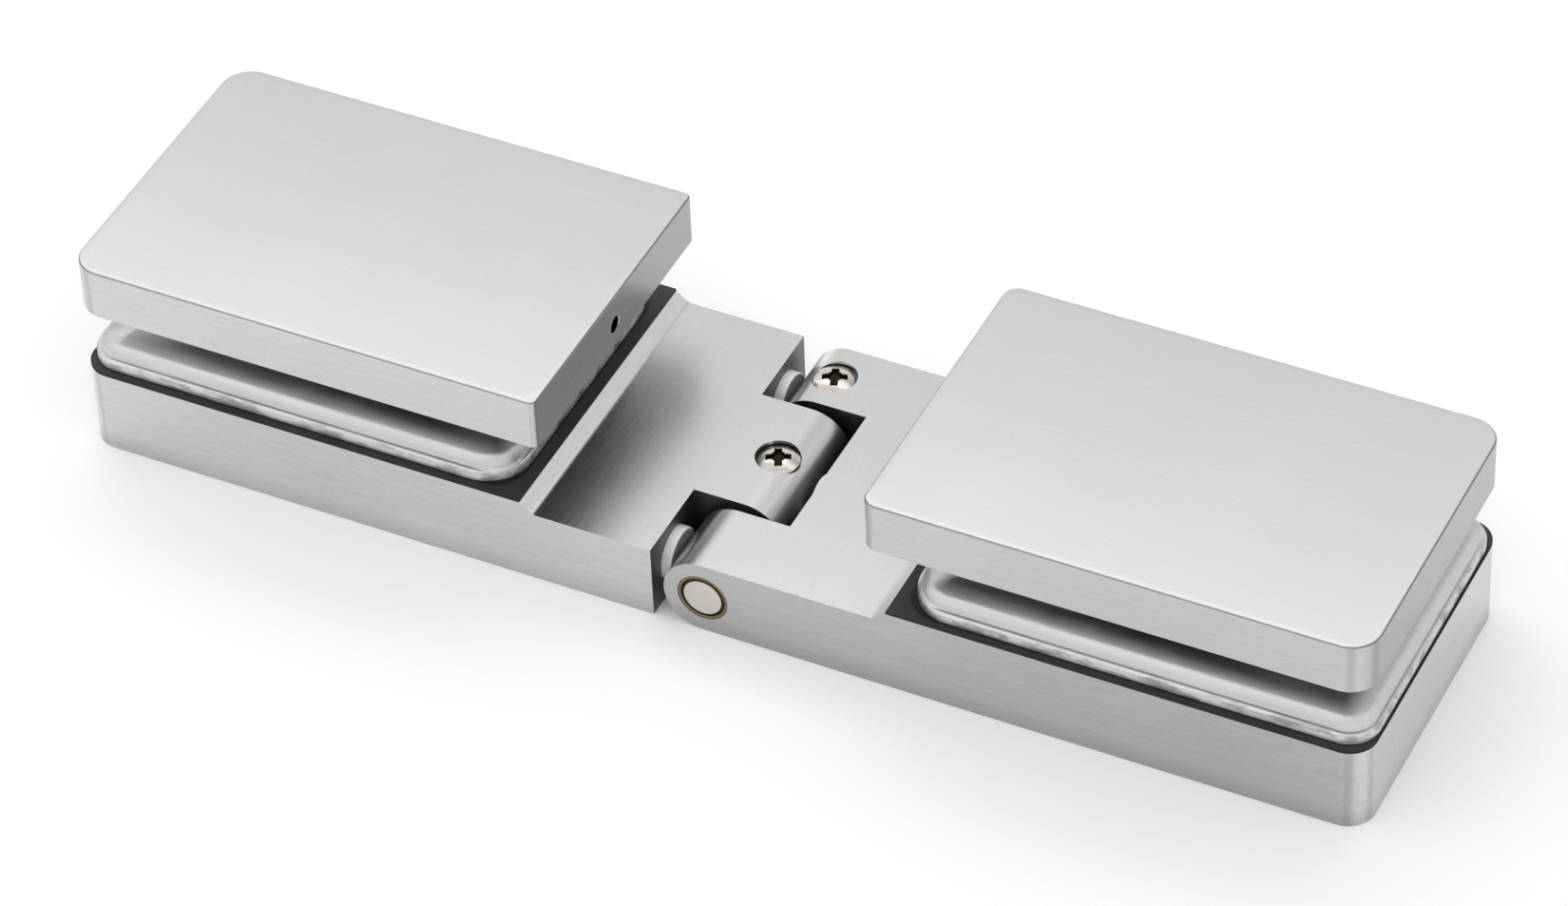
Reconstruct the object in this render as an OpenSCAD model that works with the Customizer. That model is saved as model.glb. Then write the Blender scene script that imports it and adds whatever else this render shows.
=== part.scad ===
// Glass door hinge for two glass panels in line: two clamp leaves that swing on one pin.
// Millimetres. X runs along the hinge, Y along the pin and Z up, and the leaves lie on z = 0.
// The pin axis stands above the origin. Each leaf carries a clamp pad, and a thick cover plate
// is drawn down by two bolts, so that the glass is held between pad and cover.

/* [Overall] */
// Width of the leaves and covers, along the pin
hinge_w = 60; // [54:1:72]
// Length of each cover plate
cover_l = 90; // [75:1:120]
// Distance from the pin axis to the inner edge of each cover plate
cover_start = 30; // [28:1:36]
// Thickness of the glass that the hinge clamps
glass_t = 8; // [6:0.5:12]

/* [Leaves] */
// Thickness of a leaf under its clamp pad
leaf_t = 16.5; // [15.5:0.5:20]
// How much thinner the neck is, between the clamp pad and the knuckles
step_h = 1.9; // [1:0.1:2.4]
// Distance from the cover's inner edge to the ridge where the neck's ramp ends
ridge_in = 4.2; // [3:0.1:6]
// Length of the ramp between neck and ridge
ramp_run = 2.4; // [2:0.1:2.8]
// Radius of the hollow at the foot of the ramp
ramp_fillet = 1.6; // [0.5:0.1:2]
// Radius of the leaf's two outer corners, seen from above
leaf_corner = 5; // [3:0.5:10]
// Gap between a knuckle and the face that it turns in front of
face_gap = 2.2; // [1.6:0.1:3]

/* [Knuckles and pin] */
// Width of the left leaf's middle knuckle
middle_w = 26.5; // [22:0.5:30]
// Gap between the middle knuckle and each outer knuckle
knuckle_gap = 1.85; // [1.2:0.05:3]
// Diameter of the hinge pin
pin_d = 8; // [6:0.5:8.5]
// Bevel on each end of the pin
pin_bevel = 0.3; // [0.2:0.05:0.6]
// Wall of the bronze bushes in the outer knuckles
bush_wall = 0.6; // [0.5:0.1:1]
// Outside diameter of the thrust washers
washer_d = 12; // [11:0.5:13]
// Depth of the pin's groove that keeps it from sliding out
groove_depth = 1; // [0.8:0.1:1.4]

/* [Lock screws] */
// Thread diameter of the two lock screws
screw_d = 4; // [3:0.5:4]
// Diameter of a lock screw's head
screw_head_d = 7.6; // [7:0.1:8]
// Height of a lock screw's domed head
screw_head_h = 2; // [1.6:0.1:2]
// Height of the straight edge under the dome
screw_rim_h = 1; // [0.6:0.1:1]
// Depth of the counterbore that a head sits in
screw_sink = 1.8; // [1.2:0.1:1.8]
// Length across the cross recess
recess_l = 4.5; // [3.6:0.1:5]
// Width of the recess's arms
recess_w = 1.35; // [0.8:0.05:1.5]
// Depth of the recess's arms
recess_depth = 1.2; // [0.8:0.1:1.4]
// How far the pin's lock screw reaches past the pin's axis
lock_past_axis = 0.5; // [0:0.1:1]

/* [Plungers and springs] */
// Diameter of the sprung plungers
plunger_d = 9.7; // [8:0.1:10.5]
// Length of a plunger
plunger_l = 11; // [9:0.5:14]
// Gap between a plunger's face and its knuckle
plunger_clear = 0.3; // [0.3:0.05:0.6]
// Bevel round a plunger's face
plunger_bevel = 0.4; // [0.2:0.1:0.8]
// Diameter of the spring pocket in a plunger
pocket_d = 6.8; // [6.6:0.1:7]
// Depth of the spring pocket
pocket_l = 7; // [5:0.5:7]
// Room behind a plunger for its spring to close into
spring_room = 5; // [4:0.5:6]
// Outside diameter of the springs
spring_d = 6; // [5:0.1:6]
// Diameter of the spring wire
wire_d = 0.8; // [0.6:0.1:1]
// Number of turns in a spring
spring_turns = 7; // [6:1:8]

/* [Clamp pads and seals] */
// Thickness of the rubber liner on each leaf
liner_t = 0.5; // [0.4:0.1:1]
// Height of the pad's wide lower tier
pad_low_h = 2.2; // [2:0.1:3]
// Height of the pad's narrower upper tier
pad_top_h = 2; // [1.8:0.1:3]
// Inset of the pad from the leaf's sides
pad_side = 1.5; // [1:0.1:3]
// Inset of the pad from the leaf's outer end
pad_end = 0.35; // [0.3:0.05:2]
// Gap between the pad and the ridge
pad_ridge_gap = 2.4; // [1.5:0.1:3]
// Width of the ledge between the tiers
pad_ledge = 0.7; // [0.6:0.1:1.5]
// Radius of the pad's corners next to the ridge, seen from above
pad_inner_corner = 8; // [5:0.5:10]
// Radius of the pad's corners at the leaf's outer end
pad_outer_corner = 5.5; // [4:0.5:10]
// Radius of the lower tier's upper edge
pad_low_round = 0.6; // [0.3:0.1:1]
// Radius of the upper tier's edge
pad_top_round = 1.7; // [0.5:0.1:1.8]
// Thickness of the rubber gaskets against the glass
gasket_t = 0.5; // [0.4:0.1:1]
// Inset of the gaskets from what carries them
gasket_inset = 9; // [3:0.5:10]

/* [Cover plates] */
// Thickness of each cover plate
cover_t = 9.8; // [8.5:0.1:12]
// Radius of a cover's two outer corners
cover_corner = 5.5; // [4:0.5:10]
// Radius of the left cover's inner corners
left_inner_corner = 1.3; // [1:0.1:8]
// Radius of the right cover's inner corners
right_inner_corner = 2.8; // [1:0.1:8]
// Radius of the break along a cover's upper edge
cover_edge = 0.4; // [0.2:0.1:0.8]
// Diameter of the grub screw in a cover's inner end
grub_d = 3; // [3:0.5:5]
// Length of the grub screw
grub_l = 8; // [6:0.5:10]
// Height of the grub screw's axis above the cover's underside
grub_up = 3.7; // [3.5:0.1:5]
// Bevel round the mouth of the grub screw's hole
grub_lead = 0.3; // [0.2:0.1:0.6]

/* [Clamp bolts] */
// Thread diameter of the clamp bolts
bolt_d = 8; // [6:1:8]
// Distance between the two bolts of a leaf
bolt_pitch = 42; // [30:1:44]
// Diameter of a bolt's head
bolt_head_d = 13; // [11:0.5:14]
// Height of a bolt's head
bolt_head_h = 5; // [4:0.5:8]
// How far a head sits above the underside
bolt_sink = 0.6; // [0.3:0.1:1]
// Width across the flats of a head's hexagon socket
hex_flats = 6; // [5:0.5:7]
// Depth of the hexagon socket
hex_depth = 3; // [2.5:0.5:4]
// Depth that a bolt reaches into its cover plate
bolt_bite = 7; // [6:0.5:7.5]
// Outside diameter of the sleeves that keep the glass off the bolts
sleeve_d = 12; // [11:0.5:14]

/* [Clearances] */
// Radial clearance of the pin in its bushes and of the plungers in their bores
run_gap = 0.05; // [0.02:0.01:0.1]
// Radial clearance of pieces that are fixed in their seats
seat_gap = 0.03; // [0.01:0.01:0.05]
// Clearance between flat faces that slide on each other
face_play = 0.05; // [0.02:0.01:0.1]
// Radial clearance round bolts and screw heads
bolt_gap = 0.25; // [0.1:0.05:0.5]

/* [Hidden] */
$fn = 64;

// A cut runs this far past the face that it opens
over = 1;
half_w = hinge_w / 2;
outer_x = cover_start + cover_l;
ridge_x = cover_start + ridge_in;
foot_x = ridge_x - ramp_run;
neck_t = leaf_t - step_h;

// Knuckles are as thick as the neck, and the pin axis runs through their middle
knuckle_r = neck_t / 2;
pin_z = knuckle_r;
face_x = knuckle_r + face_gap;
slot_half = middle_w / 2 + knuckle_gap;
outer_w = half_w - slot_half;
outer_y = slot_half + outer_w / 2;

// Bushes stop short of the outer faces, and the pin ends level with them
bush_inner_r = pin_d / 2 + run_gap;
bush_outer_r = bush_inner_r + bush_wall;
bush_l = outer_w - face_play;
pin_l = hinge_w - 2 * face_play;
washer_t = knuckle_gap - 2 * face_play;

// Levels of the stack on each leaf, from the liner up to the top of the cover
pad_z = leaf_t + liner_t;
pad_top_z = pad_z + pad_low_h + pad_top_h;
cover_z = pad_top_z + 2 * gasket_t + glass_t;
grub_z = cover_z + grub_up;
grub_hole_r = grub_d / 2 + seat_gap;

// Clamp bolts stand evenly about the middle of the clamped length
bolt_mid_x = (ridge_x + outer_x) / 2;
bolt_xs = [bolt_mid_x - bolt_pitch / 2, bolt_mid_x + bolt_pitch / 2];
bolt_hole_r = bolt_d / 2 + bolt_gap;
head_hole_r = bolt_head_d / 2 + bolt_gap;
bolt_top_z = cover_z + bolt_bite;
sleeve_z = pad_top_z + face_play;
sleeve_l = cover_z - pad_top_z - 2 * face_play;
sleeve_hole_r = sleeve_d / 2 + bolt_gap;

// A plunger's bore is deep enough for the plunger, its spring and its travel
plunger_out = face_gap - plunger_clear;
plunger_bore_l = plunger_l - plunger_out + spring_room;
plunger_bore_r = plunger_d / 2 + run_gap;
spring_l = pocket_l + spring_room - 2 * face_play;
coil_gap = 0.04;
notch_mid = (half_w + middle_w / 2) / 2;

screw_seat_z = neck_t - screw_sink;
pin_screw_l = screw_seat_z - pin_z + lock_past_axis;
groove_r = pin_d / 2 - groove_depth;
tip_clear = 0.3;
bush_screw_l = screw_seat_z - pin_z - groove_r - tip_clear;
groove_w = screw_d + 2 * tip_clear;

steel = [0.78, 0.78, 0.78];
cast = [0.7, 0.72, 0.73];
nickel = [0.76, 0.73, 0.69];
bronze = [0.55, 0.4, 0.22];
rubber = [0.16, 0.16, 0.17];
nylon = [0.88, 0.88, 0.86];

// Half of a plate's section, with its upper outer edge rounded off
module rim(half, h, r) {
  square([half - r, h]);
  square([half, h - r]);
  translate([half - r, h - r]) circle(r);
}

// Plate from x = 0 to x = l with its own corner radius at each end and a rounded upper edge
module soft_plate(l, w, h, r_in, r_out, r_edge) {
  for (side = [-1, 1]) {
    translate([r_in, side * (w / 2 - r_in), 0]) rotate_extrude() rim(r_in, h, r_edge);
    translate([l - r_out, side * (w / 2 - r_out), 0]) rotate_extrude() rim(r_out, h, r_edge);
  }
  translate([r_in, 0, 0]) rotate([90, 0, 90]) linear_extrude(l - r_in - r_out) {
    rim(w / 2, h, r_edge);
    mirror([1, 0]) rim(w / 2, h, r_edge);
  }
  translate([r_in, w / 2 - r_in, 0]) rotate([90, 0, 0]) linear_extrude(w - 2 * r_in) {
    mirror([1, 0]) rim(r_in, h, r_edge);
  }
  translate([l - r_out, w / 2 - r_out, 0]) rotate([90, 0, 0]) linear_extrude(w - 2 * r_out) {
    rim(r_out, h, r_edge);
  }
}

// Plain plate of the same outline, with square edges
module flat_plate(l, w, h, r_out) {
  translate([0, -w / 2, 0]) cube([l - r_out, w, h]);
  translate([l / 2, -w / 2 + r_out, 0]) cube([l / 2, w - 2 * r_out, h]);
  for (side = [-1, 1]) {
    translate([l - r_out, side * (w / 2 - r_out), 0]) cylinder(h = h, r = r_out);
  }
}

// Places its children at both clamp bolts of the +X leaf
module at_bolts() {
  for (x = bolt_xs) translate([x, 0, 0]) children();
}

// Cylinder along +Y, centred on the pin axis, starting at y = start
module on_pin(start, l, r) {
  translate([0, start + l, pin_z]) rotate([90, 0, 0]) cylinder(h = l, r = r);
}

// Side view of the ramp from neck to ridge, with a hollow at its foot
module ramp_section() {
  slope = atan2(step_h, ramp_run);
  tangent = ramp_fillet * tan(slope / 2);
  polygon([[foot_x, neck_t - over], [ridge_x + over, neck_t - over], [ridge_x + over, leaf_t],
    [ridge_x, leaf_t], [foot_x, neck_t]]);
  difference() {
    polygon([[foot_x - tangent, neck_t - over], [foot_x + tangent, neck_t - over],
      [foot_x + tangent * cos(slope), neck_t + tangent * sin(slope)], [foot_x - tangent, neck_t]]);
    translate([foot_x - tangent, neck_t + ramp_fillet]) circle(ramp_fillet);
  }
}

// Bore for a plunger, drilled along +X from the face
module plunger_bore(y) {
  translate([face_x - over, y, pin_z]) rotate([0, 90, 0]) {
    cylinder(h = plunger_bore_l + over, r = plunger_bore_r);
  }
}

// The leaf on the +X side up to its face, without knuckles
module leaf_block() {
  difference() {
    union() {
      translate([face_x, -half_w, 0]) cube([foot_x - face_x, hinge_w, neck_t]);
      translate([foot_x - over, -half_w, 0]) cube([2 * over + ramp_run, hinge_w, neck_t - over / 2]);
      translate([0, half_w, 0]) rotate([90, 0, 0]) linear_extrude(hinge_w) ramp_section();
      translate([ridge_x, 0, 0]) flat_plate(outer_x - ridge_x, hinge_w, leaf_t, leaf_corner);
    }
    at_bolts() {
      translate([0, 0, -over]) cylinder(h = leaf_t + 2 * over, r = bolt_hole_r);
      translate([0, 0, -over]) cylinder(h = over + bolt_sink + bolt_head_h, r = head_hole_r);
    }
  }
}

// One knuckle with its arm back to the leaf on the +X side
module knuckle(start, w) {
  on_pin(start, w, knuckle_r);
  translate([0, start, 0]) cube([face_x + over, w, neck_t]);
}

// Counterbore and screw hole, from the top of a knuckle down into the pin bore
module screw_hole(y) {
  translate([0, y, screw_seat_z]) cylinder(h = screw_sink + over, r = screw_head_d / 2 + bolt_gap);
  translate([0, y, pin_z]) cylinder(h = knuckle_r, r = screw_d / 2 + seat_gap);
}

module left_leaf() {
  color(steel) difference() {
    union() {
      mirror([1, 0, 0]) leaf_block();
      mirror([1, 0, 0]) knuckle(-middle_w / 2, middle_w);
    }
    on_pin(-middle_w / 2 - over, middle_w + 2 * over, pin_d / 2 + seat_gap);
    screw_hole(0);
    for (side = [-1, 1]) mirror([1, 0, 0]) plunger_bore(side * notch_mid);
  }
}

module right_leaf() {
  color(steel) difference() {
    union() {
      leaf_block();
      knuckle(-half_w, outer_w);
      knuckle(slot_half, outer_w);
    }
    on_pin(-half_w - over, hinge_w + 2 * over, bush_outer_r + seat_gap);
    screw_hole(outer_y);
    plunger_bore(0);
  }
}

// Rubber sheet that covers a leaf's whole clamp face
module liner() {
  color(rubber) difference() {
    translate([ridge_x, 0, leaf_t]) flat_plate(outer_x - ridge_x, hinge_w, liner_t, leaf_corner);
    at_bolts() translate([0, 0, leaf_t - over]) cylinder(h = liner_t + 2 * over, r = bolt_hole_r);
  }
}

// Plate with a pad's outline, set in by inset from its lower edge
module pad_tier(inset, h, r_edge) {
  l = outer_x - pad_end - ridge_x - pad_ridge_gap - 2 * inset;
  w = hinge_w - 2 * pad_side - 2 * inset;
  translate([ridge_x + pad_ridge_gap + inset, 0, pad_z]) {
    soft_plate(l, w, h, pad_inner_corner - inset, pad_outer_corner - inset, r_edge);
  }
}

module clamp_pad() {
  color(cast) difference() {
    union() {
      pad_tier(0, pad_low_h, pad_low_round);
      pad_tier(pad_ledge, pad_low_h + pad_top_h, pad_top_round);
    }
    at_bolts() translate([0, 0, pad_z - over]) {
      cylinder(h = pad_low_h + pad_top_h + 2 * over, r = bolt_hole_r);
    }
  }
}

// Rubber sheet against the glass, with room for the sleeves
module glass_gasket(start, l, w, z) {
  color(rubber) difference() {
    translate([start, -w / 2, z]) cube([l, w, gasket_t]);
    at_bolts() translate([0, 0, z - over]) cylinder(h = gasket_t + 2 * over, r = sleeve_hole_r);
  }
}

module pad_gasket() {
  edge = pad_ledge + gasket_inset;
  start = ridge_x + pad_ridge_gap + edge;
  l = outer_x - pad_end - ridge_x - pad_ridge_gap - 2 * edge;
  glass_gasket(start, l, hinge_w - 2 * pad_side - 2 * edge, pad_top_z);
}

module cover_gasket() {
  l = cover_l - 2 * gasket_inset;
  glass_gasket(cover_start + gasket_inset, l, hinge_w - 2 * gasket_inset, cover_z - gasket_t);
}

module cover_plate(inner_corner) {
  color(steel) difference() {
    translate([cover_start, 0, cover_z]) {
      soft_plate(cover_l, hinge_w, cover_t, inner_corner, cover_corner, cover_edge);
    }
    at_bolts() translate([0, 0, cover_z - over]) cylinder(h = bolt_bite + 2 * over, r = bolt_d / 2 + seat_gap);
    translate([cover_start - over, 0, grub_z]) rotate([0, 90, 0]) {
      cylinder(h = bolt_xs[0] - cover_start + over, r = grub_hole_r);
      cylinder(h = over + grub_lead, r1 = grub_hole_r + grub_lead + over, r2 = grub_hole_r);
    }
  }
}

// Socket head bolts, put in from under the leaf and screwed into the cover
module clamp_bolts() {
  color(nickel) at_bolts() difference() {
    union() {
      translate([0, 0, bolt_sink]) cylinder(h = bolt_head_h - face_play, r = bolt_head_d / 2);
      translate([0, 0, bolt_sink]) cylinder(h = bolt_top_z - bolt_sink, r = bolt_d / 2);
    }
    translate([0, 0, bolt_sink - over]) {
      cylinder(h = hex_depth + over, r = hex_flats / sqrt(3), $fn = 6);
    }
  }
}

module glass_sleeves() {
  color(nylon) at_bolts() difference() {
    translate([0, 0, sleeve_z]) cylinder(h = sleeve_l, r = sleeve_d / 2);
    translate([0, 0, sleeve_z - over]) cylinder(h = sleeve_l + 2 * over, r = bolt_hole_r);
  }
}

// Grub screw, run in from the cover's inner end until it bears on the first bolt
module grub_screw() {
  color(nickel) translate([bolt_xs[0] - bolt_d / 2 - face_play - grub_l, 0, grub_z]) {
    rotate([0, 90, 0]) difference() {
      cylinder(h = grub_l, r = grub_d / 2);
      translate([0, 0, -over]) cylinder(h = over + grub_d / 2, r = grub_d / 4, $fn = 6);
    }
  }
}

// Pin with bevelled ends, a cross hole for its lock screw and a groove that keeps it in place
module hinge_pin() {
  r = pin_d / 2;
  color(nickel) difference() {
    translate([0, pin_l / 2, pin_z]) rotate([90, 0, 0]) rotate_extrude() {
      polygon([[0, 0], [r - pin_bevel, 0], [r, pin_bevel], [r, pin_l - pin_bevel],
        [r - pin_bevel, pin_l], [0, pin_l]]);
    }
    translate([0, 0, pin_z - lock_past_axis - face_play]) {
      cylinder(h = pin_d, r = screw_d / 2 + seat_gap);
    }
    difference() {
      on_pin(outer_y - groove_w / 2, groove_w, r + over);
      on_pin(outer_y - groove_w / 2 - over, groove_w + 2 * over, groove_r);
    }
  }
}

module bush(start) {
  color(bronze) difference() {
    on_pin(start, bush_l, bush_outer_r);
    on_pin(start - over, bush_l + 2 * over, bush_inner_r);
    translate([0, outer_y, pin_z]) cylinder(h = knuckle_r, r = screw_d / 2 + seat_gap);
  }
}

module thrust_washer(start) {
  color(bronze) difference() {
    on_pin(start, washer_t, washer_d / 2);
    on_pin(start - over, washer_t + 2 * over, bush_inner_r);
  }
}

// Domed head screw with a cross recess, its thread end running l below the head
module lock_screw(y, l, turn) {
  head_r = screw_head_d / 2;
  rise = screw_head_h - screw_rim_h;
  dome_r = (head_r * head_r + rise * rise) / (2 * rise);
  color(nickel) translate([0, y, screw_seat_z]) rotate([0, 0, turn]) difference() {
    union() {
      intersection() {
        cylinder(h = screw_head_h, r = head_r);
        translate([0, 0, screw_head_h - dome_r]) sphere(dome_r);
      }
      translate([0, 0, -l]) cylinder(h = l + screw_rim_h, r = screw_d / 2);
    }
    translate([0, 0, screw_head_h - recess_depth]) {
      for (a = [0, 90]) rotate([0, 0, a]) {
        translate([-recess_l / 2, -recess_w / 2, 0]) cube([recess_l, recess_w, recess_depth + over]);
      }
      cylinder(h = recess_depth + over, r = recess_w);
      mirror([0, 0, 1]) cylinder(h = recess_w / 2, r1 = recess_w, r2 = recess_w / 4);
    }
  }
}

// Sprung plunger in the +X leaf, its flat face towards the knuckle and its back bored for the spring
module plunger(y) {
  r = plunger_d / 2;
  color(nylon) translate([face_x - plunger_out, y, pin_z]) rotate([0, 90, 0]) rotate_extrude() {
    polygon([[0, 0], [r - plunger_bevel, 0], [r, plunger_bevel], [r, plunger_l],
      [pocket_d / 2, plunger_l], [pocket_d / 2, plunger_l - pocket_l], [0, plunger_l - pocket_l]]);
  }
}

// How far along a spring its wire has come after n turns. The end turns lie close
function wire_rise(n) =
  let (close = wire_d + coil_gap, open = (spring_l - wire_d - 2 * close) / (spring_turns - 2))
  n < 1 ? n * close : n > spring_turns - 1 ? spring_l - wire_d - (spring_turns - n) * close
  : close + (n - 1) * open;

// Coil spring behind a plunger in the +X leaf, from the pocket's floor to the bore's floor
module spring(y) {
  steps = 12;
  sides = 6;
  mid_r = (spring_d - wire_d) / 2;
  rings = spring_turns * steps;
  points = [for (i = [0:rings], k = [0:sides - 1])
    let (a = 360 * i / steps, b = 360 * k / sides, r = mid_r + wire_d / 2 * cos(b))
    [wire_rise(i / steps) + wire_d / 2 * (1 + sin(b)), r * cos(a), r * sin(a)]];
  walls = [for (i = [0:rings - 1], k = [0:sides - 1])
    let (p = i * sides + k, q = i * sides + (k + 1) % sides) [p, q, q + sides, p + sides]];
  ends = [[for (k = [0:sides - 1]) sides - 1 - k], [for (k = [0:sides - 1]) rings * sides + k]];
  start = face_x - plunger_out + plunger_l - pocket_l + face_play;
  color(nickel) translate([start, y, pin_z]) polyhedron(points, concat(walls, ends));
}

left_leaf();
right_leaf();
mirror([1, 0, 0]) liner();  // left_liner
liner();  // right_liner
mirror([1, 0, 0]) clamp_pad();  // left_clamp_pad
clamp_pad();  // right_clamp_pad
mirror([1, 0, 0]) pad_gasket();  // left_pad_gasket
pad_gasket();  // right_pad_gasket
mirror([1, 0, 0]) cover_gasket();  // left_cover_gasket
cover_gasket();  // right_cover_gasket
mirror([1, 0, 0]) cover_plate(left_inner_corner);  // left_cover_plate
cover_plate(right_inner_corner);  // right_cover_plate
mirror([1, 0, 0]) clamp_bolts();  // left_clamp_bolts
clamp_bolts();  // right_clamp_bolts
mirror([1, 0, 0]) glass_sleeves();  // left_glass_sleeves
glass_sleeves();  // right_glass_sleeves
mirror([1, 0, 0]) grub_screw();  // left_grub_screw
grub_screw();  // right_grub_screw
hinge_pin();
bush(-half_w + face_play);  // front_bush
bush(slot_half);  // back_bush
thrust_washer(-slot_half + face_play);  // front_thrust_washer
thrust_washer(middle_w / 2 + face_play);  // back_thrust_washer
lock_screw(0, pin_screw_l, 25);  // pin_lock_screw
lock_screw(outer_y, bush_screw_l, 20);  // bush_lock_screw
mirror([1, 0, 0]) plunger(-notch_mid);  // front_plunger
mirror([1, 0, 0]) plunger(notch_mid);  // back_plunger
plunger(0);  // slot_plunger
mirror([1, 0, 0]) spring(-notch_mid);  // front_spring
mirror([1, 0, 0]) spring(notch_mid);  // back_spring
spring(0);  // slot_spring
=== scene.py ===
"""Looks of the glass door hinge: finishes, edges, screws, camera and light.

All lengths are in metres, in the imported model's own frame: X along the hinge, Y along the pin and
Z up.
"""
import math

import bmesh
import bpy
from mathutils import Matrix, Vector


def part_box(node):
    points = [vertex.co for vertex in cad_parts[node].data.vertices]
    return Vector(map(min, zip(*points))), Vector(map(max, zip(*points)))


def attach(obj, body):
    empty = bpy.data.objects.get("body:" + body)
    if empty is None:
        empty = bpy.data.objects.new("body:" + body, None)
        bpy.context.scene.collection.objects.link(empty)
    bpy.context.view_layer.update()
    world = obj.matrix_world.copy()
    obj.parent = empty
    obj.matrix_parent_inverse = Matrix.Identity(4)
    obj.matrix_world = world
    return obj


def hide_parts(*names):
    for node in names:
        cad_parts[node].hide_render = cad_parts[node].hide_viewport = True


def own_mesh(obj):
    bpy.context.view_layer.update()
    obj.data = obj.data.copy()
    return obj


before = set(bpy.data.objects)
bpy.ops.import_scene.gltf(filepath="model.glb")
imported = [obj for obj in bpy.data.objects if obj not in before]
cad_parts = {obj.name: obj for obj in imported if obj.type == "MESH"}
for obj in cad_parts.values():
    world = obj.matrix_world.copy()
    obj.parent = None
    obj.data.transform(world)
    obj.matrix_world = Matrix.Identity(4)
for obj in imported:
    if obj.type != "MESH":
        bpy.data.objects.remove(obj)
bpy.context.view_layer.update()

MM = 0.001

# Camera solved from the photograph's straight edges
CAMERA_PLACE = Vector((394.3, -759.8, 784.3)) * MM
CAMERA_RIGHT = Vector((0.90075, 0.43312, -0.03260))
CAMERA_UP = Vector((-0.26790, 0.61309, 0.74320))
CAMERA_LENS = 154.9
CAMERA_SENSOR = 36.0
CAMERA_CLIP = 10 * MM

# Floor, a hair below the leaves
FLOOR_HALF = 3.0
FLOOR_Z = -0.05 * MM
FLOOR_LEVEL = 0.88
FLOOR_ROUGH = 0.9

# The room's own light, and its brighter and darker zones: axis, the cosines between which the zone
# grows from nothing to full, and how much light it adds
ROOM_LEVEL = 1.46
ROOM_ZONES = [
    ((-0.34, -0.67, 0.66), 0.75, 1.0, 0.35),
    ((0.67, 0.66, 0.34), 0.80, 1.0, 0.05),
    ((0.45, 0.62, 0.64), 0.80, 0.97, -0.55),
]

# Level soft box above the object: place, length and width, and watts
STRIP_PLACE = (-0.12, 0.16, 0.30)
STRIP_SIZE = (0.65, 0.145)
STRIP_POWER = 0.27

# Bevels at the pieces' edges. Points closer than the weld distance become one, faces within the
# flat angle become one, and only edges sharper than the sharp angle are bevelled
LEAF_EDGE = 0.30 * MM
COVER_EDGE = 0.25 * MM
SMALL_EDGE = 0.10 * MM
EDGE_STEPS = 3
SHARP_ANGLE = math.radians(28)
FLAT_ANGLE = math.radians(0.5)
WELD_DISTANCE = 0.001 * MM
FACE_WEIGHT = 100

# How far in from its edge a brushed plate rolls off, how steep it is there, and the corner radius
# of its rolled outline
ROLL_WIDTH = 1.4 * MM
ROLL_ANGLE = math.radians(5)
PLATE_CORNER = 4 * MM

# Noise of the brushing: scales along and across it, detail and roughness
HAIRS = (90.0, 5200.0, 3.0, 0.6)
BANDS = (45.0, 1100.0, 3.0, 0.6)
DASHES = (330.0, 3600.0, 1.0, 0.4)
HAIR_SPREAD = 0.015
HAIR_DEPTH = 0.003 * MM

# How much of the streaks shows on tops, and of the dashes on the neck's top
TOP_STREAKS = 0.4
NECK_DASHES = 0.5

# Painted shade and highlight on the upright corners: a band of painted shade each side of the
# corner, then a painted highlight on the corner itself
CORNER_SHADE = 0.86
CORNER_HIGHLIGHT = 1.32

# The painted shade on the leaves' sides towards the foot, and the painted shade on the faces
# between the knuckles, which are also rougher
FOOT_HEIGHT = 5 * MM
FOOT_START = 0.2 * MM
FOOT_SHADE = 0.16
HOLLOW_REACH = 11.5 * MM
HOLLOW_FADE = 0.1 * MM
HOLLOW_HALF_WIDTH = 20 * MM
HOLLOW_SHADE = 0.72
HOLLOW_ROUGHER = 0.15

# Where painted shade darkens the inside of the grub screw's hole: radius, height above the plate's
# underside, how far in from the plate's inner end it starts, and its length. Then how dark that
# painted shade is
GRUB_HOLE = 1.58 * MM
GRUB_UP = 3.7 * MM
GRUB_START = 0.35 * MM
GRUB_LENGTH = 40 * MM
GRUB_SHADE = 0.93

# The clamp pad: its box's corner, its upper tier's inset and corner, that tier's soft upper edge,
# and the casting draft that its sides are shaded with
PAD_CORNER = 6 * MM
PAD_LEDGE = 0.7 * MM
PAD_TIER_CORNER = 5.5 * MM
PAD_ROLL_WIDTH = 6.5 * MM
PAD_ROLL_ANGLE = math.radians(38)
PAD_DRAFT = math.radians(14)
# Heights above the pad's foot between which its blotches fade out
BLOTCH_FULL = 1.4 * MM
BLOTCH_NONE = 2.5 * MM

# The painted contact shadow on a liner, a black line along the outline of the pad on it
PAD_SHADOW_FULL = 0.2 * MM
PAD_SHADOW_NONE = 0.7 * MM

# Radius of the pin's flat end, the soft border of the painted shade in the groove round it, and its
# turning marks
PIN_FLAT = 3.52 * MM
SHADE_BEFORE = 0.06 * MM
SHADE_AFTER = 0.02 * MM
TURNING_MARKS = 9000.0
GROOVE_SHADE_COLOR = (0.045, 0.034, 0.020, 1.0)

# The dome of a lock screw's head, how far its cross reaches, and the depths below the dome between
# which its dark brown starts
SCREW_DOME = 7.72 * MM
SCREW_CROSS = 2.4 * MM
RECESS_NONE = 0.06 * MM
RECESS_FULL = 0.3 * MM
RECESS_COLOR = (0.030, 0.022, 0.014, 1.0)

# Share of its colour that stained plating keeps
PLATING_STAIN = 0.78
SCREW_STAIN = 0.75

# How far from the pin the floor of a plunger's bore is
SPRING_FLOOR = 23.6 * MM
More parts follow.
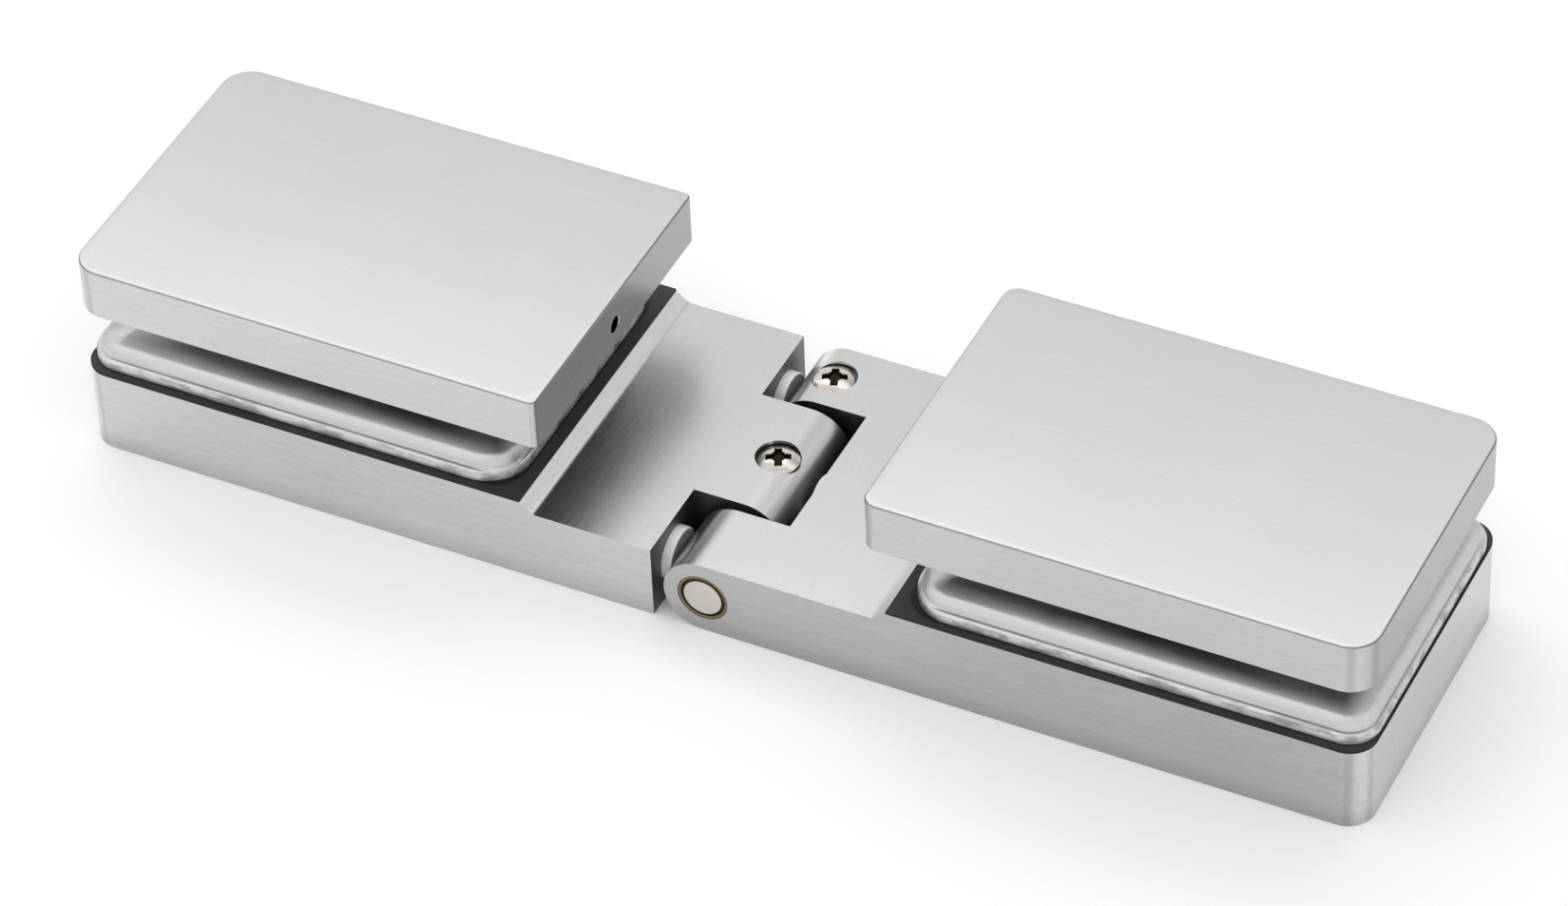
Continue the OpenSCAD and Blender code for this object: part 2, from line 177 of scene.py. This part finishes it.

# How pale the leaves' brushed metal is painted on faces that look along Z and X, as painted
# light and shade by facing, its roughness, the strength of its streaks, and the share of its
# paleness on bevels, a painted highlight. The covers' likewise, where the bevels get a painted dark
# line
LEAF_TOP, LEAF_END = 0.47, 0.62
LEAF_ROUGH, LEAF_STREAKS, LEAF_LIP = 0.28, 0.05, 1.3
COVER_TOP = 0.48
COVER_ROUGH, COVER_STREAKS, COVER_LIP = 0.28, 0.035, 0.42
# What differs by side of the hinge, as painted light and shade that makes lit and shaded copies
# of one metal: how pale the leaf's faces along Y, the cover's faces along Y and the cover's ends
# are
SIDE_LEVELS = [("left", 0.60, 0.61, 0.35), ("right", 0.475, 0.555, 0.39)]
PAD_LEVEL, PAD_ROUGH = 0.55, 0.42
SCREW_COLOR, SCREW_ROUGH = (0.54, 0.515, 0.48, 1.0), 0.19
PIN_COLOR, PIN_ROUGH = (0.63, 0.59, 0.55, 1.0), 0.36


class Nodes:
    """Short names for making and joining the nodes of one tree."""

    def __init__(self, tree):
        self.tree = tree
        tree.nodes.clear()

    def add(self, kind, **values):
        node = self.tree.nodes.new(kind)
        for key, value in values.items():
            setattr(node, key, value)
        return node

    def join(self, start, end):
        self.tree.links.new(start, end)

    def feed(self, socket, value):
        if isinstance(value, bpy.types.NodeSocket):
            self.join(value, socket)
        elif value is not None:
            socket.default_value = value

    def math(self, operation, a, b=None, clamp=False):
        node = self.add("ShaderNodeMath", operation=operation, use_clamp=clamp)
        for socket, value in zip(node.inputs, (a, b)):
            self.feed(socket, value)
        return node.outputs[0]

    def squares(self, a, b):
        """The sum of two numbers' squares."""
        return self.math("ADD", self.math("MULTIPLY", a, a), self.math("MULTIPLY", b, b))

    def darken(self, tone, mask, share):
        """tone, less this share of it where the mask is 1."""
        kept = self.math("SUBTRACT", 1.0, self.math("MULTIPLY", mask, share))
        return self.math("MULTIPLY", tone, kept)

    def noise(self, place, scale, detail=3.0, roughness=0.55):
        node = self.add("ShaderNodeTexNoise")
        node.inputs["Scale"].default_value = scale
        node.inputs["Detail"].default_value = detail
        node.inputs["Roughness"].default_value = roughness
        self.join(place, node.inputs["Vector"])
        return node.outputs["Fac"]

    def stretched(self, place, scale):
        node = self.add("ShaderNodeMapping", vector_type="POINT")
        node.inputs["Scale"].default_value = scale
        self.join(place, node.inputs["Vector"])
        return node.outputs["Vector"]

    def remap(self, value, low, high, to_low, to_high):
        node = self.add("ShaderNodeMapRange")
        self.feed(node.inputs["Value"], value)
        limits = (low, high, to_low, to_high)
        for name, limit in zip(("From Min", "From Max", "To Min", "To Max"), limits):
            node.inputs[name].default_value = limit
        return node.outputs["Result"]

    def smooth(self, value, low, high, to_low, to_high):
        result = self.remap(value, low, high, to_low, to_high)
        result.node.interpolation_type = "SMOOTHSTEP"
        return result

    def split(self, vector):
        node = self.add("ShaderNodeSeparateXYZ")
        self.join(vector, node.inputs[0])
        return tuple(node.outputs)

    def scale(self, color, share):
        """A colour, as a socket or as three numbers, times a number from a socket."""
        node = self.add("ShaderNodeVectorMath", operation="SCALE")
        self.feed(node.inputs[0], color)
        self.join(share, node.inputs["Scale"])
        return node.outputs[0]

    def mix_value(self, share, a, b):
        node = self.add("ShaderNodeMix", data_type="FLOAT")
        self.feed(node.inputs[0], share)
        self.feed(node.inputs[2], a)
        self.feed(node.inputs[3], b)
        return node.outputs[0]

    def mix_color(self, share, a, b):
        node = self.add("ShaderNodeMix", data_type="RGBA")
        self.feed(node.inputs[0], share)
        self.feed(node.inputs[6], a)
        self.feed(node.inputs[7], b)
        return node.outputs[2]

    def bump(self, height, strength, distance, before=None):
        node = self.add("ShaderNodeBump")
        node.inputs["Strength"].default_value = strength
        node.inputs["Distance"].default_value = distance
        self.join(height, node.inputs["Height"])
        self.feed(node.inputs["Normal"], before)
        return node.outputs["Normal"]


def grey(level):
    return (level, level, level, 1.0)


def scaled(color, share):
    """A colour with each of its three parts times share, and opaque."""
    return tuple(c * share for c in color[:3]) + (1.0,)


def new_material(name, metallic=False):
    material = bpy.data.materials.new(name)
    material.use_nodes = True
    nodes = Nodes(material.node_tree)
    shader = nodes.add("ShaderNodeBsdfPrincipled")
    output = nodes.add("ShaderNodeOutputMaterial")
    nodes.join(shader.outputs[0], output.inputs["Surface"])
    if metallic:
        shader.inputs["Metallic"].default_value = 1.0
    place = nodes.add("ShaderNodeTexCoord").outputs["Object"]
    return material, nodes, shader, place


def object_normal(nodes):
    """The smooth surface normal in the object's own axes, as x, y and z."""
    normal = nodes.add("ShaderNodeNewGeometry").outputs["Normal"]
    turned = nodes.add("ShaderNodeVectorTransform", vector_type="NORMAL", convert_from="WORLD",
                       convert_to="OBJECT")
    nodes.join(normal, turned.inputs[0])
    return nodes.split(turned.outputs[0])


def inside_distance(nodes, place, low, high, corner):
    """How far inside a rounded rectangle, seen from above, a point is. Less than 0 is outside."""
    x, y, _ = nodes.split(place)
    reach = []
    for value, a, b in ((x, low[0], high[0]), (y, low[1], high[1])):
        off = nodes.math("ABSOLUTE", nodes.math("SUBTRACT", value, (a + b) / 2))
        reach.append(nodes.math("SUBTRACT", off, (b - a) / 2 - corner))
    past = [nodes.math("MAXIMUM", value, 0.0) for value in reach]
    round_part = nodes.math("SQRT", nodes.squares(*past))
    flat_part = nodes.math("MINIMUM", nodes.math("MAXIMUM", reach[0], reach[1]), 0.0)
    return nodes.math("SUBTRACT", corner, nodes.math("ADD", round_part, flat_part))


def rolled_edge(nodes, place, outline, width, angle, before):
    """Tilts the shading towards an outline, as on an edge that rolls off over some width."""
    inside = inside_distance(nodes, place, *outline)
    drop = nodes.math("SUBTRACT", 1.0, nodes.math("DIVIDE", inside, width), clamp=True)
    drop = nodes.math("MULTIPLY", nodes.math("MULTIPLY", drop, drop), -1.0)
    return nodes.bump(drop, 1.0, width * math.tan(angle) / 2, before)


def brushed_metal(name, tops, sides, ends, rough, streaks, lip_level, outline=None, knuckles=False):
    """Metal brushed along X, and along Y on the faces that look along X.

    tops, sides and ends are how pale the faces that look along Z, Y and X are painted, as painted
    light and shade by facing, and lip_level is the share of that which the bevels between a top and
    a side have, as a painted highlight or a painted dark line. outline is the box and corner of a
    cover plate, whose upper edges roll off and whose grub screw hole has painted shade inside. A
    leaf
    has knuckles: its top is brushed along Y too, its sides have painted shade towards the foot, and
    its faces between the knuckles have painted shade.
    """
    material, nodes, shader, place = new_material(name, metallic=True)
    nx, ny, nz = object_normal(nodes)
    x, y, z = nodes.split(place)
    end_share = nodes.math("MULTIPLY", nx, nx)
    side_share = nodes.math("MULTIPLY", ny, ny)
    top_share = nodes.math("MULTIPLY", nz, nz)
    across = nodes.math("GREATER_THAN", end_share, 0.3)
    if knuckles:
        across = nodes.math("MAXIMUM", across, nodes.math("GREATER_THAN", top_share, 0.5))

    def brushing(length, width, detail, roughness):
        long_x = nodes.noise(nodes.stretched(place, (length, width, width)), 1.0, detail, roughness)
        long_y = nodes.noise(nodes.stretched(place, (width, length, width)), 1.0, detail, roughness)
        return nodes.mix_value(across, long_x, long_y)

    hairs = brushing(*HAIRS)
    bands = brushing(*BANDS)
    dashes = brushing(*DASHES)
    cloud = nodes.noise(place, 38.0, 3.0, 0.5)

    # Painted light and shade: how pale each face is painted depends on which way it looks
    shares = ((top_share, tops), (side_share, sides), (end_share, ends))
    parts = [nodes.math("MULTIPLY", share, level) for share, level in shares]
    level = nodes.math("ADD", nodes.math("ADD", parts[0], parts[1]), parts[2])

    # Streaks of the brushing, from fine to wide, and single pale and dark dashes
    fine = nodes.remap(hairs, 0.25, 0.75, -streaks, streaks)
    fine = nodes.math("MULTIPLY", fine, nodes.mix_value(top_share, 1.0, TOP_STREAKS))
    tone = nodes.math("ADD", 1.0, fine)
    wide = nodes.remap(bands, 0.25, 0.75, 1 - streaks, 1 + streaks)
    tone = nodes.math("MULTIPLY", tone, nodes.mix_value(top_share, wide, 1.0))
    tone = nodes.math("MULTIPLY", tone, nodes.remap(cloud, 0.3, 0.7, 0.98, 1.02))
    pale = nodes.smooth(dashes, 0.66, 0.76, 0.0, streaks * 1.5)
    dark = nodes.smooth(dashes, 0.24, 0.34, streaks * 1.3, 0.0)
    marks = nodes.math("SUBTRACT", pale, dark)
    if knuckles:
        marks = nodes.math("MULTIPLY", marks, nodes.mix_value(top_share, 1.0, NECK_DASHES))
    tone = nodes.math("ADD", tone, marks)

    # Painted highlight on the upright corners, between two bands of painted shade, and the bevels
    # have their own level, a painted highlight or a painted dark line
    turn = nodes.math("MULTIPLY", end_share, side_share)
    tone = nodes.math("MULTIPLY", tone, nodes.smooth(turn, 0.02, 0.09, 1.0, CORNER_SHADE))
    tone = nodes.math("MULTIPLY", tone, nodes.smooth(turn, 0.13, 0.24, 1.0, CORNER_HIGHLIGHT))
    lip = nodes.math("MULTIPLY", top_share, nodes.math("SUBTRACT", 1.0, top_share))
    tone = nodes.math("MULTIPLY", tone, nodes.smooth(lip, 0.10, 0.22, 1.0, lip_level))

    spread = nodes.remap(hairs, 0.25, 0.75, rough - HAIR_SPREAD, rough + HAIR_SPREAD)
    if knuckles:
        # Painted shade on the leaves' sides, darker towards the foot
        foot_shade = nodes.smooth(z, FOOT_START, FOOT_HEIGHT, FOOT_SHADE, 0.0)
        tone = nodes.darken(tone, foot_shade, nodes.math("SUBTRACT", 1.0, top_share))
        # Painted shade on the faces between the knuckles, which are also rougher
        off_pin = nodes.math("ABSOLUTE", x)
        near = nodes.smooth(off_pin, HOLLOW_REACH, HOLLOW_REACH + HOLLOW_FADE, 1.0, 0.0)
        inner = nodes.math("LESS_THAN", nodes.math("ABSOLUTE", y), HOLLOW_HALF_WIDTH)
        flank = nodes.math("MULTIPLY", nodes.math("GREATER_THAN", side_share, 0.6), inner)
        facing = nodes.math("MAXIMUM", flank, nodes.smooth(end_share, 0.35, 0.75, 0.0, 1.0))
        knuckle_gap = nodes.math("MULTIPLY", near, facing)
        tone = nodes.darken(tone, knuckle_gap, HOLLOW_SHADE)
        spread = nodes.math("ADD", spread, nodes.math("MULTIPLY", knuckle_gap, HOLLOW_ROUGHER))
    scratches = nodes.bump(hairs, 0.05, HAIR_DEPTH)
    if outline is not None:
        # Painted shade inside the grub screw's hole, behind its bevelled mouth
        inner_x = min(abs(outline[0][0]), abs(outline[1][0])) + GRUB_START
        off_pin = nodes.math("ABSOLUTE", x)
        bored = nodes.math("MULTIPLY", nodes.math("GREATER_THAN", off_pin, inner_x),
                           nodes.math("LESS_THAN", off_pin, inner_x + GRUB_LENGTH))
        off_axis = nodes.squares(y, nodes.math("SUBTRACT", z, outline[0][2] + GRUB_UP))
        hole = nodes.math("MULTIPLY", nodes.math("LESS_THAN", off_axis, GRUB_HOLE ** 2), bored)
        tone = nodes.darken(tone, hole, GRUB_SHADE)
        scratches = rolled_edge(nodes, place, outline, ROLL_WIDTH, ROLL_ANGLE, scratches)
    tint = nodes.mix_color(nodes.remap(cloud, 0.35, 0.65, 0.0, 1.0), (0.992, 1.0, 0.996, 1.0),
                           (1.004, 1.0, 0.994, 1.0))
    color = nodes.scale(tint, nodes.math("MULTIPLY", level, tone))
    nodes.join(color, shader.inputs["Base Color"])
    nodes.join(spread, shader.inputs["Roughness"])
    nodes.join(scratches, shader.inputs["Normal"])
    return material


def tumbled_metal(name, level, rough, box):
    """Cast metal with a soft polish, its reflections broken up by a slight waviness."""
    foot_z = box[0][2]
    material, nodes, shader, place = new_material(name, metallic=True)
    z = nodes.split(place)[2]
    wave = nodes.noise(nodes.stretched(place, (70.0, 260.0, 260.0)), 1.0, 3.0, 0.55)
    lines = nodes.noise(nodes.stretched(place, (60.0, 1500.0, 1500.0)), 1.0, 3.0, 0.6)
    blots = nodes.noise(nodes.stretched(place, (160.0, 300.0, 500.0)), 1.0, 4.0, 0.6)
    grain = nodes.noise(place, 2600.0, 3.0, 0.6)
    tone = nodes.remap(wave, 0.3, 0.7, 0.95, 1.05)
    tone = nodes.math("MULTIPLY", tone, nodes.remap(lines, 0.25, 0.75, 0.93, 1.07))
    near_foot = nodes.smooth(z, foot_z + BLOTCH_FULL, foot_z + BLOTCH_NONE, 1.0, 0.0)
    tone = nodes.darken(tone, nodes.smooth(blots, 0.46, 0.62, -0.10, 0.42), near_foot)
    color = nodes.scale((level * 0.985, level, level * 1.01), tone)
    nodes.join(color, shader.inputs["Base Color"])
    nodes.join(nodes.remap(wave, 0.3, 0.7, rough - 0.06, rough + 0.08), shader.inputs["Roughness"])
    fine = nodes.bump(grain, 0.15, 0.01 * MM)
    upper = ([c + PAD_LEDGE for c in box[0]], [c - PAD_LEDGE for c in box[1]], PAD_TIER_CORNER)
    soft = rolled_edge(nodes, place, upper, PAD_ROLL_WIDTH, PAD_ROLL_ANGLE, fine)
    draft = nodes.bump(nodes.math("MULTIPLY", z, -math.tan(PAD_DRAFT)), 1.0, 1.0, soft)
    nodes.join(nodes.bump(wave, 0.3, 0.06 * MM, draft), shader.inputs["Normal"])
    return material


def black_rubber(name, pad=None):
    """Matt rubber, with a painted contact shadow in a narrow black line along the outline of the
    pad on it.
    """
    material, nodes, shader, place = new_material(name)
    grain = nodes.noise(place, 1800.0, 4.0, 0.6)
    patch = nodes.noise(place, 120.0, 2.0, 0.5)
    color = nodes.mix_color(patch, grey(0.020), grey(0.036))
    shader.inputs["Specular IOR Level"].default_value = 0.35
    if pad is not None:
        # Painted contact shadow along the outline of the pad
        outside = nodes.math("MULTIPLY", inside_distance(nodes, place, *pad), -1.0)
        clear = nodes.smooth(outside, PAD_SHADOW_FULL, PAD_SHADOW_NONE, 0.0, 1.0)
        color = nodes.mix_color(clear, grey(0.003), color)
    nodes.join(color, shader.inputs["Base Color"])
    nodes.join(nodes.remap(grain, 0.3, 0.7, 0.55, 0.72), shader.inputs["Roughness"])
    nodes.join(nodes.bump(grain, 0.4, 0.03 * MM), shader.inputs["Normal"])
    return material


def stained_plating(nodes, shader, place, color, rough, kept):
    """Bright plating with faint stains that keep a share of its colour, as colour and roughness."""
    stain = nodes.noise(place, 700.0, 3.0, 0.6)
    nodes.join(nodes.bump(stain, 0.12, 0.02 * MM), shader.inputs["Normal"])
    plating = nodes.mix_color(nodes.remap(stain, 0.45, 0.8, 0.0, 1.0), color, scaled(color, kept))
    return plating, nodes.remap(stain, 0.3, 0.7, rough - 0.03, rough + 0.06)


def plated(name, color, rough):
    material, nodes, shader, place = new_material(name, metallic=True)
    plating, spread = stained_plating(nodes, shader, place, color, rough, PLATING_STAIN)
    nodes.join(plating, shader.inputs["Base Color"])
    nodes.join(spread, shader.inputs["Roughness"])
    return material


def screw_finish(node, color, rough):
    """Nickel plating, dark brown in the cross recess below the head's dome."""
    material, nodes, shader, place = new_material(node, metallic=True)
    low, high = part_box(node)
    x, y, z = nodes.split(place)
    dx = nodes.math("SUBTRACT", x, (low[0] + high[0]) / 2)
    dy = nodes.math("SUBTRACT", y, (low[1] + high[1]) / 2)
    radius2 = nodes.squares(dx, dy)
    dome = nodes.math("SUBTRACT", high[2], nodes.math("DIVIDE", radius2, 2 * SCREW_DOME))
    depth = nodes.math("SUBTRACT", dome, z)
    # Dark brown in the cross recess, below the dome
    in_cross = nodes.math("LESS_THAN", radius2, SCREW_CROSS ** 2)
    deep = nodes.smooth(depth, RECESS_NONE, RECESS_FULL, 0.0, 1.0)
    recess_tone = nodes.math("MULTIPLY", deep, in_cross)
    plating, spread = stained_plating(nodes, shader, place, color, rough, SCREW_STAIN)
    nodes.join(nodes.mix_color(recess_tone, plating, RECESS_COLOR), shader.inputs["Base Color"])
    nodes.join(nodes.mix_value(recess_tone, spread, 0.5), shader.inputs["Roughness"])
    return material


def pin_finish(name, color, rough):
    """A pale ground end, with painted shade on the bevel round it and on the pin's side."""
    material, nodes, shader, place = new_material(name, metallic=True)
    low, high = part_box("hinge_pin")
    x, _, z = nodes.split(place)
    dx = nodes.math("SUBTRACT", x, (low[0] + high[0]) / 2)
    dz = nodes.math("SUBTRACT", z, (low[2] + high[2]) / 2)
    radius = nodes.math("SQRT", nodes.squares(dx, dz))
    rings = nodes.math("SINE", nodes.math("MULTIPLY", radius, TURNING_MARKS))
    stain = nodes.noise(place, 320.0, 3.0, 0.5)
    tone = nodes.math("ADD", nodes.remap(stain, 0.3, 0.7, 0.94, 1.04),
                      nodes.math("MULTIPLY", rings, 0.01))
    # Painted shade on the bevel round the flat end and on the pin's side
    groove_shade = nodes.smooth(radius, PIN_FLAT - SHADE_BEFORE, PIN_FLAT + SHADE_AFTER, 0.0, 1.0)
    nodes.join(nodes.mix_color(groove_shade, nodes.scale(color[:3], tone), GROOVE_SHADE_COLOR),
               shader.inputs["Base Color"])
    spread = nodes.remap(stain, 0.3, 0.7, rough - 0.04, rough + 0.05)
    nodes.join(nodes.mix_value(groove_shade, spread, 0.35), shader.inputs["Roughness"])
    nodes.join(nodes.bump(stain, 0.1, 0.01 * MM), shader.inputs["Normal"])
    return material


def moulded(name, color, rough, end_shade=0.0):
    """Moulded plastic. Its faces along X have painted shade, darker by as much as end_shade says.
    """
    material, nodes, shader, place = new_material(name)
    grain = nodes.noise(place, 1500.0, 3.0, 0.5)
    patch = nodes.noise(place, 160.0, 2.0, 0.5)
    finish = nodes.mix_color(patch, color, scaled(color, 1.12))
    if end_shade:
        # Painted shade on the faces that look along X
        facing = nodes.math("ABSOLUTE", object_normal(nodes)[0])
        end = nodes.smooth(facing, 0.75, 0.97, 0.0, 1.0)
        finish = nodes.mix_color(end, finish, scaled(color, 1 - end_shade))
    nodes.join(finish, shader.inputs["Base Color"])
    nodes.join(nodes.remap(grain, 0.3, 0.7, rough - 0.05, rough + 0.08), shader.inputs["Roughness"])
    nodes.join(nodes.bump(grain, 0.2, 0.015 * MM), shader.inputs["Normal"])
    return material


def finish_node(name, material, edge):
    """Gives a CAD node its finish, smooth curves and, if edge is not 0, bevelled edges."""
    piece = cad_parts[name]
    piece.data.materials.clear()
    piece.data.materials.append(material)
    for face in piece.data.polygons:
        face.material_index = 0
        face.use_smooth = True
    weld = piece.modifiers.new("weld", "WELD")
    weld.merge_threshold = WELD_DISTANCE
    flat = piece.modifiers.new("flat", "DECIMATE")
    flat.decimate_type = "DISSOLVE"
    flat.angle_limit = FLAT_ANGLE
    if edge:
        round_off = piece.modifiers.new("edges", "BEVEL")
        round_off.width = edge
        round_off.segments = EDGE_STEPS
        round_off.limit_method = "ANGLE"
        round_off.angle_limit = SHARP_ANGLE
        round_off.use_clamp_overlap = True
    even = piece.modifiers.new("even", "WEIGHTED_NORMAL")
    even.mode = "FACE_AREA"
    even.weight = FACE_WEIGHT
    even.keep_sharp = True


def spring_piece(name, body, material):
    """The CAD spring's shape as a smooth piece of its own that rides with a body."""
    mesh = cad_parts[name].data.copy()
    shape = bmesh.new()
    shape.from_mesh(mesh)
    bmesh.ops.remove_doubles(shape, verts=shape.verts, dist=WELD_DISTANCE)
    for face in shape.faces:
        face.material_index = 0
        face.smooth = True
    shape.to_mesh(mesh)
    shape.free()
    mesh.materials.clear()
    mesh.materials.append(material)
    piece = bpy.data.objects.new(name + "_wire", mesh)
    bpy.context.scene.collection.objects.link(piece)
    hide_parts(name)
    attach(piece, body)
    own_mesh(piece)


def make_camera():
    camera = bpy.data.cameras.new("camera")
    camera.lens = CAMERA_LENS
    camera.sensor_width = CAMERA_SENSOR
    camera.clip_start = CAMERA_CLIP
    holder = bpy.data.objects.new("camera", camera)
    back = CAMERA_RIGHT.cross(CAMERA_UP)
    turn = Matrix((CAMERA_RIGHT, CAMERA_UP, back)).transposed().to_4x4()
    holder.matrix_world = Matrix.Translation(CAMERA_PLACE) @ turn
    bpy.context.scene.collection.objects.link(holder)
    bpy.context.scene.camera = holder


def make_floor():
    mesh = bpy.data.meshes.new("floor")
    signs = ((-1, -1), (1, -1), (1, 1), (-1, 1))
    corners = [(sx * FLOOR_HALF, sy * FLOOR_HALF, FLOOR_Z) for sx, sy in signs]
    mesh.from_pydata(corners, [], [(0, 1, 2, 3)])
    floor = bpy.data.objects.new("floor", mesh)
    bpy.context.scene.collection.objects.link(floor)
    material = bpy.data.materials.new("floor")
    material.use_nodes = True
    shader = material.node_tree.nodes["Principled BSDF"]
    shader.inputs["Base Color"].default_value = grey(FLOOR_LEVEL)
    shader.inputs["Roughness"].default_value = FLOOR_ROUGH
    mesh.materials.append(material)


def make_room():
    """World light that changes softly with direction, as large soft boxes and dark cards do."""
    world = bpy.data.worlds.new("studio")
    bpy.context.scene.world = world
    world.use_nodes = True
    nodes = Nodes(world.node_tree)
    output = nodes.add("ShaderNodeOutputWorld")
    background = nodes.add("ShaderNodeBackground")
    nodes.join(background.outputs[0], output.inputs["Surface"])
    direction = nodes.add("ShaderNodeTexCoord").outputs["Generated"]
    light = ROOM_LEVEL
    for axis, low, high, amount in ROOM_ZONES:
        facing = nodes.add("ShaderNodeVectorMath", operation="DOT_PRODUCT")
        nodes.join(direction, facing.inputs[0])
        facing.inputs[1].default_value = Vector(axis).normalized()
        zone = nodes.smooth(facing.outputs["Value"], low, high, 0.0, amount)
        light = nodes.math("ADD", light, zone)
    nodes.join(nodes.math("MAXIMUM", light, 0.0), background.inputs["Strength"])


def make_strip_light():
    lamp = bpy.data.lights.new("strip", "AREA")
    lamp.shape = "RECTANGLE"
    lamp.size, lamp.size_y = STRIP_SIZE
    lamp.energy = STRIP_POWER
    holder = bpy.data.objects.new("strip", lamp)
    holder.location = STRIP_PLACE
    holder.visible_camera = False
    bpy.context.scene.collection.objects.link(holder)


def finish_all():
    rubber = black_rubber("black_rubber")
    nickel = plated("bright_nickel", (0.74, 0.71, 0.67, 1.0), 0.14)
    dark_steel = plated("dark_steel", (0.10, 0.10, 0.10, 1.0), 0.38)
    bronze = plated("bearing_bronze", (0.22, 0.165, 0.095, 1.0), 0.28)
    # Bronze painted near black for the thrust washers, as dark as the shade in the gap they sit in
    dark_bronze = plated("dark_bronze", (0.06, 0.045, 0.03, 1.0), 0.35)
    wire = plated("spring_wire", (0.36, 0.36, 0.38, 1.0), 0.30)
    plunger = moulded("plunger_grey", (0.66, 0.68, 0.68, 1.0), 0.38, 0.6)
    nylon = moulded("white_nylon", (0.78, 0.78, 0.75, 1.0), 0.45)
    for side, leaf_side, cover_side, cover_end in SIDE_LEVELS:
        plate = (*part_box(side + "_cover_plate"), PLATE_CORNER)
        pad = (*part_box(side + "_clamp_pad"), PAD_CORNER)
        leaf = brushed_metal(side + "_brushed_leaf", LEAF_TOP, leaf_side, LEAF_END,
                             LEAF_ROUGH, LEAF_STREAKS, LEAF_LIP, knuckles=True)
        cover = brushed_metal(side + "_brushed_cover", COVER_TOP, cover_side, cover_end,
                              COVER_ROUGH, COVER_STREAKS, COVER_LIP, outline=plate)
        cast = tumbled_metal(side + "_tumbled_pad", PAD_LEVEL, PAD_ROUGH, pad)
        finish_node(side + "_leaf", leaf, LEAF_EDGE)
        finish_node(side + "_cover_plate", cover, COVER_EDGE)
        finish_node(side + "_clamp_pad", cast, SMALL_EDGE)
        finish_node(side + "_liner", black_rubber(side + "_liner", pad), 0)
        finish_node(side + "_pad_gasket", rubber, SMALL_EDGE)
        finish_node(side + "_cover_gasket", rubber, SMALL_EDGE)
        finish_node(side + "_clamp_bolts", nickel, SMALL_EDGE)
        finish_node(side + "_grub_screw", dark_steel, 0)
        finish_node(side + "_glass_sleeves", nylon, SMALL_EDGE)
    finish_node("hinge_pin", pin_finish("pale_pin", PIN_COLOR, PIN_ROUGH), 0)
    for place in ("front", "back"):
        finish_node(place + "_bush", bronze, SMALL_EDGE)
        finish_node(place + "_thrust_washer", dark_bronze, SMALL_EDGE)
    for name in ("pin_lock_screw", "bush_lock_screw"):
        finish_node(name, screw_finish(name, SCREW_COLOR, SCREW_ROUGH), SMALL_EDGE)
    bores = (("front", "left_leaf", -SPRING_FLOOR), ("back", "left_leaf", -SPRING_FLOOR),
             ("slot", "right_leaf", SPRING_FLOOR))
    for place, body, floor_x in bores:
        finish_node(place + "_plunger", plunger, 0)
        spring_piece(place + "_spring", body, wire)


bpy.context.scene.view_settings.view_transform = "Standard"
make_camera()
make_floor()
make_room()
make_strip_light()
finish_all()
